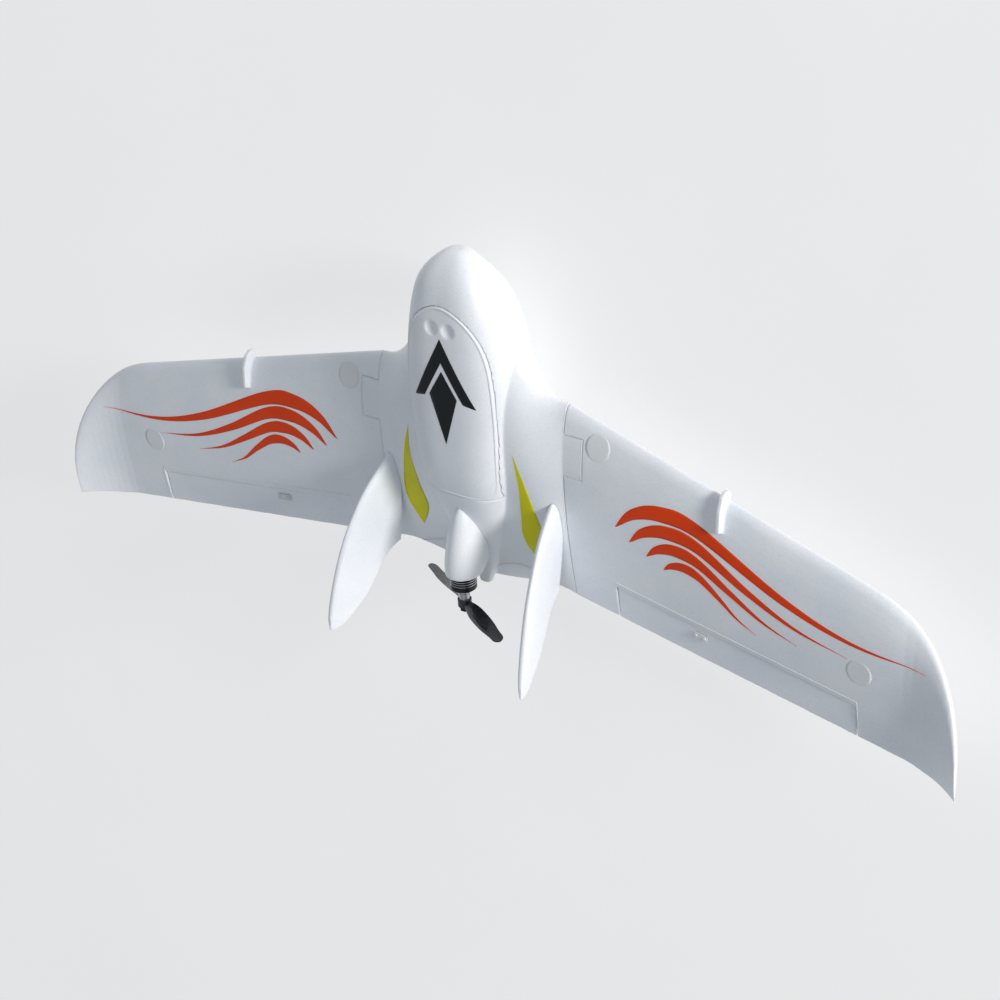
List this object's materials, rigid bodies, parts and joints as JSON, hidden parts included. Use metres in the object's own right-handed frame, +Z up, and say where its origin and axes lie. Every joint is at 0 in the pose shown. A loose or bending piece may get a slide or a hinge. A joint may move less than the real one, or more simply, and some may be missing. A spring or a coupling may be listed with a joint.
{
  "type": "rc flying wing",
  "caption": "Swept foam flying wing for radio control: pod with lift-off hatch, plug-in wing panels with elevons, twin canted fins and a pusher propeller.",
  "frame": {"origin": "middle of the footprint, on the surface that the belly rests on", "axes": "+Z up, nose towards -Y, +X towards the port wing tip"},
  "size_m": [1.2028, 0.4625, 0.1777],
  "materials": {
    "foam": "matte",
    "carbon": "satin",
    "black_plastic": "satin",
    "nickel": "polished",
    "steel": "satin",
    "black_metal": "satin",
    "lamination": "satin",
    "copper": "satin",
    "aluminium": "satin",
    "prop_plastic": "satin",
    "grip_pad": "matte",
    "battery_wrap": "gloss",
    "webbing": "matte",
    "heat_shrink": "gloss",
    "receiver_case": "satin",
    "servo_case": "gloss",
    "nylon": "satin"
  },
  "bodies": {
    "airframe": {"centre_body_lower": "foam", "centre_body_upper": "foam", "motor_fairing": "foam", "fin_left": "foam", "fin_right": "foam", "main_spar": "carbon", "locating_pins": "carbon", "body_magnets": "nickel", "motor_mount": "black_plastic", "motor_mount_screws": "steel", "motor_base": "black_metal", "motor_bearings": "steel", "motor_stator": "lamination", "stator_windings": "copper", "battery_pad": "grip_pad", "battery": "battery_wrap", "battery_strap": "webbing", "speed_controller": "heat_shrink", "receiver": "receiver_case"},
    "hatch": {"hatch_cover": "foam", "hatch_magnets": "nickel"},
    "rotor": {"motor_bell": "black_metal", "rotor_magnets": "nickel", "motor_shaft": "steel", "prop_adapter": "aluminium", "propeller": "prop_plastic", "prop_washer": "aluminium", "prop_nut": "aluminium"},
    "wing_left": {"wing_left": "foam", "spar_sleeve_left": "black_plastic", "servo_left": "servo_case"},
    "elevon_left": {"elevon_left": "foam", "control_horn_left": "nylon", "horn_backplate_left": "nylon", "horn_screws_left": "nylon"},
    "servo_arm_left": {"servo_arm_left": "nylon"},
    "pushrod_left": {"pushrod_left": "steel"},
    "wing_right": {"wing_right": "foam", "spar_sleeve_right": "black_plastic", "servo_right": "servo_case"},
    "elevon_right": {"elevon_right": "foam", "control_horn_right": "nylon", "horn_backplate_right": "nylon", "horn_screws_right": "nylon"},
    "servo_arm_right": {"servo_arm_right": "nylon"},
    "pushrod_right": {"pushrod_right": "steel"}
  },
  "joints": [
    {"name": "rotor_spin", "type": "hinge", "parent": "airframe", "child": "rotor", "pos_m": [0, 0.18, 0.0945], "axis": [0, 1, 0], "continuous": true},
    {"name": "hatch_lift", "type": "slide", "parent": "airframe", "child": "hatch", "axis": [0, 0, 1], "range_m": [0, 0.08]},
    {"name": "wing_left_slide", "type": "slide", "parent": "airframe", "child": "wing_left", "axis": [1, 0, 0], "range_m": [0, 0.1]},
    {"name": "elevon_left_hinge", "type": "hinge", "parent": "wing_left", "child": "elevon_left", "pos_m": [0.289, 0.14953, 0.05576], "axis": [0.9884, 0.1502, 0.0217], "range_deg": [-25, 25]},
    {"name": "servo_arm_left_turn", "type": "hinge", "parent": "wing_left", "child": "servo_arm_left", "pos_m": [0.289, 0.0705, 0.0545], "axis": [0.9884, 0.1502, 0.0217], "range_deg": [-25.5, 25.5]},
    {"name": "pushrod_left_pivot", "type": "hinge", "parent": "servo_arm_left", "child": "pushrod_left", "pos_m": [0.28926, 0.07054, 0.0425], "axis": [0.9884, 0.1502, 0.0217], "range_deg": [-25.5, 25.5]},
    {"name": "wing_right_slide", "type": "slide", "parent": "airframe", "child": "wing_right", "axis": [-1, 0, 0], "range_m": [0, 0.1]},
    {"name": "elevon_right_hinge", "type": "hinge", "parent": "wing_right", "child": "elevon_right", "pos_m": [-0.289, 0.14953, 0.05576], "axis": [0.9884, -0.1502, -0.0217], "range_deg": [-25, 25]},
    {"name": "servo_arm_right_turn", "type": "hinge", "parent": "wing_right", "child": "servo_arm_right", "pos_m": [-0.289, 0.0705, 0.0545], "axis": [0.9884, -0.1502, -0.0217], "range_deg": [-25.5, 25.5]},
    {"name": "pushrod_right_pivot", "type": "hinge", "parent": "servo_arm_right", "child": "pushrod_right", "pos_m": [-0.28926, 0.07054, 0.0425], "axis": [0.9884, -0.1502, -0.0217], "range_deg": [-25.5, 25.5]}
  ],
  "couplings": [
    {"joint": "servo_arm_left_turn", "follows": "elevon_left_hinge", "ratio": 1},
    {"joint": "pushrod_left_pivot", "follows": "elevon_left_hinge", "ratio": -1},
    {"joint": "servo_arm_right_turn", "follows": "elevon_right_hinge", "ratio": 1},
    {"joint": "pushrod_right_pivot", "follows": "elevon_right_hinge", "ratio": -1}
  ]
}
